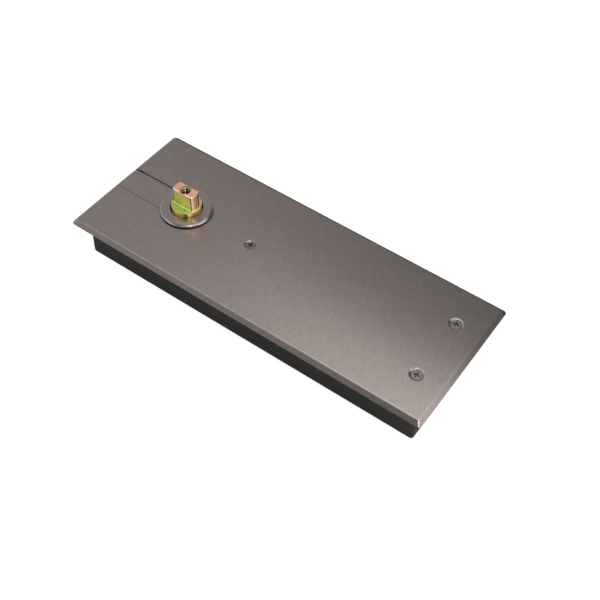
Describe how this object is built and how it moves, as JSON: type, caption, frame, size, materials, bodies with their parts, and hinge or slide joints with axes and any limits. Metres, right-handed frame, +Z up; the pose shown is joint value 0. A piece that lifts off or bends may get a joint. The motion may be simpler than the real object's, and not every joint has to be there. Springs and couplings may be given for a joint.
{
  "type": "floor spring door closer",
  "caption": "Concealed floor closer for a swing door: cam spindle, spring and oil piston in a housing, set in a sheet cement box under a brushed steel cover plate.",
  "frame": {"origin": "middle of the cement box's underside, below the middle of the cover plate", "axes": "+X along the cover plate, away from the spindle's end; +Z up, out of the floor; +Y across the plate"},
  "size_m": [0.3, 0.12, 0.0583],
  "materials": {
    "brushed_stainless": "brushed across the width",
    "satin_stainless": "satin",
    "screw_steel": "turned, slightly dull",
    "bright_steel": "turned",
    "hardened_steel": "ground",
    "spring_steel": "oiled dark",
    "yellow_passivated": "zinc with iridescent yellow passivation",
    "black_paint": "satin black",
    "cast_iron": "painted casting",
    "brass": "turned",
    "black_rubber": "moulded",
    "gasket_fibre": "pressed fibre"
  },
  "bodies": {
    "housing": {"cement_box": "black_paint", "box_floor_bosses": "black_paint", "cover_bridge": "black_paint", "cover_plate": "brushed_stainless", "slot_filler": "brushed_stainless", "spindle_collar": "satin_stainless", "cover_screws": "screw_steel", "closer_housing": "cast_iron", "housing_lid": "cast_iron", "lid_gasket": "gasket_fibre", "lid_screws": "bright_steel", "bearing_outer_ring": "bright_steel", "spindle_seal": "black_rubber", "seal_retaining_ring": "spring_steel", "lower_bearing_bush": "brass", "lower_thrust_washer": "bright_steel", "rod_bush": "brass", "spring_seat": "bright_steel", "closing_spring": "spring_steel", "cylinder_end_cap": "bright_steel", "end_cap_ring": "black_rubber", "oil_filler_plug": "bright_steel", "oil_filler_washer": "brass", "levelling_screws": "bright_steel", "clamping_screws": "bright_steel", "clamping_washers": "bright_steel"},
    "spindle_shaft": {"spindle": "yellow_passivated", "cam": "hardened_steel", "cam_key": "hardened_steel", "cam_circlip": "spring_steel", "bearing_inner_ring": "bright_steel"},
    "slide": {"slide_plate_lower": "hardened_steel", "slide_plate_upper": "hardened_steel", "roller_pins": "bright_steel", "crosshead": "hardened_steel", "crosshead_rivets": "bright_steel", "pull_rod": "bright_steel", "piston": "hardened_steel", "piston_ring": "bright_steel", "piston_nut": "bright_steel", "check_valve_ball": "bright_steel", "check_valve_retainer": "brass"},
    "bearing_cage": {"bearing_cage": "brass", "bearing_rollers": "bright_steel"},
    "roller_left": {"cam_roller_left": "hardened_steel"},
    "roller_right": {"cam_roller_right": "hardened_steel"},
    "closing_valve": {"closing_speed_valve": "brass", "closing_valve_ring": "black_rubber"},
    "latching_valve": {"latching_speed_valve": "brass", "latching_valve_ring": "black_rubber"}
  },
  "joints": [
    {"name": "spindle_swing", "type": "hinge", "parent": "housing", "child": "spindle_shaft", "pos_m": [-0.0893, 0, 0.0185], "axis": [0, 0, 1], "range_deg": [0, 130], "stiffness_Nm_per_rad": 6, "springref_deg": -68.75},
    {"name": "slide_travel", "type": "slide", "parent": "housing", "child": "slide", "axis": [-1, 0, 0], "range_m": [0, 0.01145], "deforming": ["closing_spring"]},
    {"name": "cage_roll", "type": "hinge", "parent": "housing", "child": "bearing_cage", "pos_m": [-0.0893, 0, 0.03], "axis": [0, 0, 1], "range_deg": [0, 58.8]},
    {"name": "left_roller_spin", "type": "hinge", "parent": "slide", "child": "roller_left", "pos_m": [-0.1078, 0, 0.0185], "axis": [0, 0, 1], "continuous": true},
    {"name": "right_roller_spin", "type": "hinge", "parent": "slide", "child": "roller_right", "pos_m": [-0.05509, 0, 0.0185], "axis": [0, 0, 1], "continuous": true},
    {"name": "closing_valve_turn", "type": "hinge", "parent": "housing", "child": "closing_valve", "pos_m": [0.0994, 0.0192, 0.03], "axis": [0, 0, 1], "range_deg": [-180, 360]},
    {"name": "latching_valve_turn", "type": "hinge", "parent": "housing", "child": "latching_valve", "pos_m": [0.0994, -0.0192, 0.03], "axis": [0, 0, 1], "range_deg": [-180, 360]}
  ],
  "couplings": [
    {"joint": "slide_travel", "follows": "spindle_swing", "m_per_rad": 0.005},
    {"joint": "cage_roll", "follows": "spindle_swing", "ratio": 0.4484}
  ]
}
